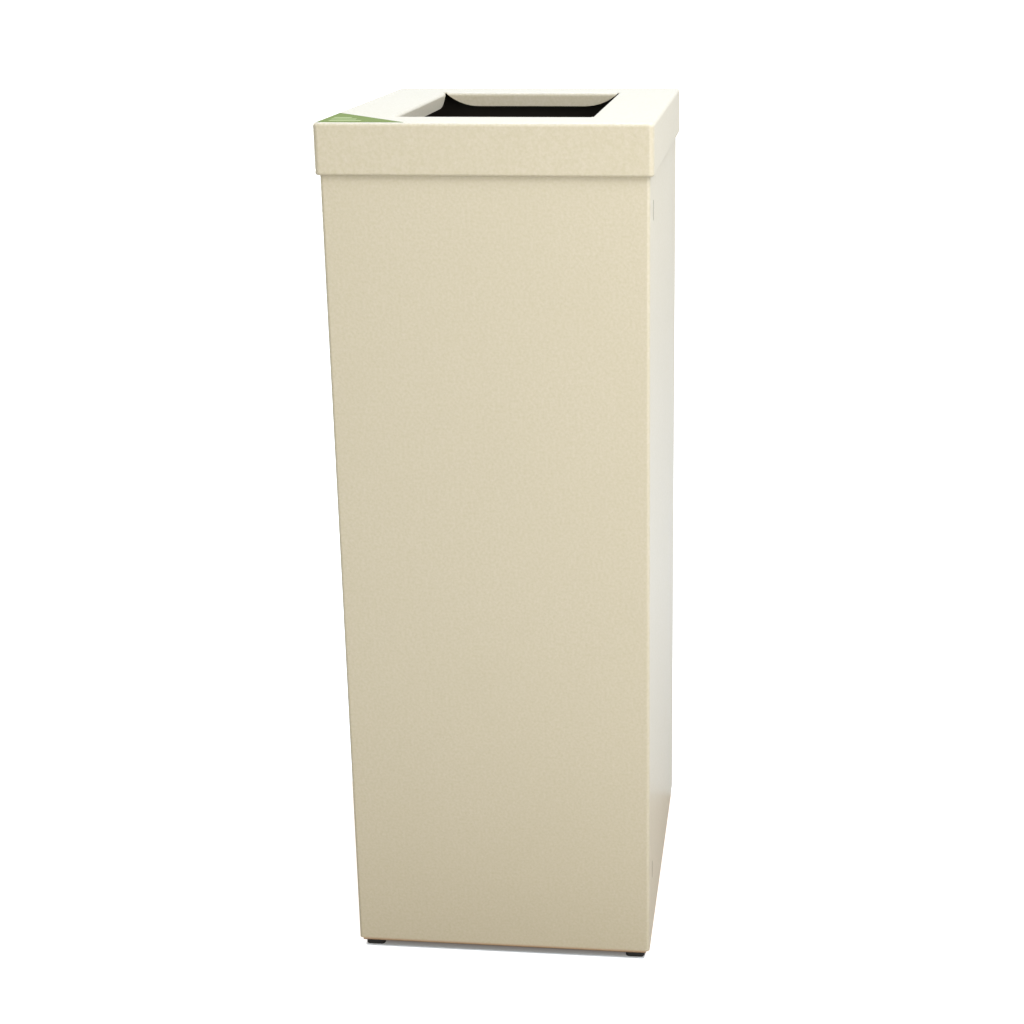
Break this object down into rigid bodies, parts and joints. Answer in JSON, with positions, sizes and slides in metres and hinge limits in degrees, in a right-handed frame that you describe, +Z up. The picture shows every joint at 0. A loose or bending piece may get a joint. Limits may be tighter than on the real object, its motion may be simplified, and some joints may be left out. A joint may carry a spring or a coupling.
{
  "type": "waste bin",
  "caption": "Tall sheet-steel waste bin with a lift-off cap lid, a rectangular throw-in opening and a liner that hangs inside and lifts out.",
  "frame": {"origin": "on the floor under the centre of the bin", "axes": "+Z up, the front faces -Y, +X to the right when looking at the front"},
  "size_m": [0.287, 0.357, 0.7842],
  "materials": {
    "body_sheet": "powder-coated beige, fine orange peel, satin",
    "lid_sheet": "powder-coated beige, fine orange peel, satin",
    "foot": "moulded black rubber",
    "fastener": "zinc plated",
    "liner": "moulded black, fine matt texture",
    "label_film": "satin green film"
  },
  "bodies": {
    "body": {"body_wrap": "body_sheet", "back_panel": "body_sheet", "floor_pan": "body_sheet", "front_left_foot": "foot", "front_right_foot": "foot", "rear_left_foot": "foot", "rear_right_foot": "foot", "foot_screws": "fastener", "foot_nuts": "fastener"},
    "liner": {"inner_liner": "liner"},
    "lid": {"lid_cap": "lid_sheet", "corner_label": "label_film"}
  },
  "joints": [
    {"name": "liner_lift", "type": "slide", "parent": "body", "child": "liner", "axis": [0, 0, 1], "range_m": [0, 0.8]},
    {"name": "lid_lift", "type": "slide", "parent": "liner", "child": "lid", "axis": [0, 0, 1], "range_m": [0, 0.25]}
  ]
}
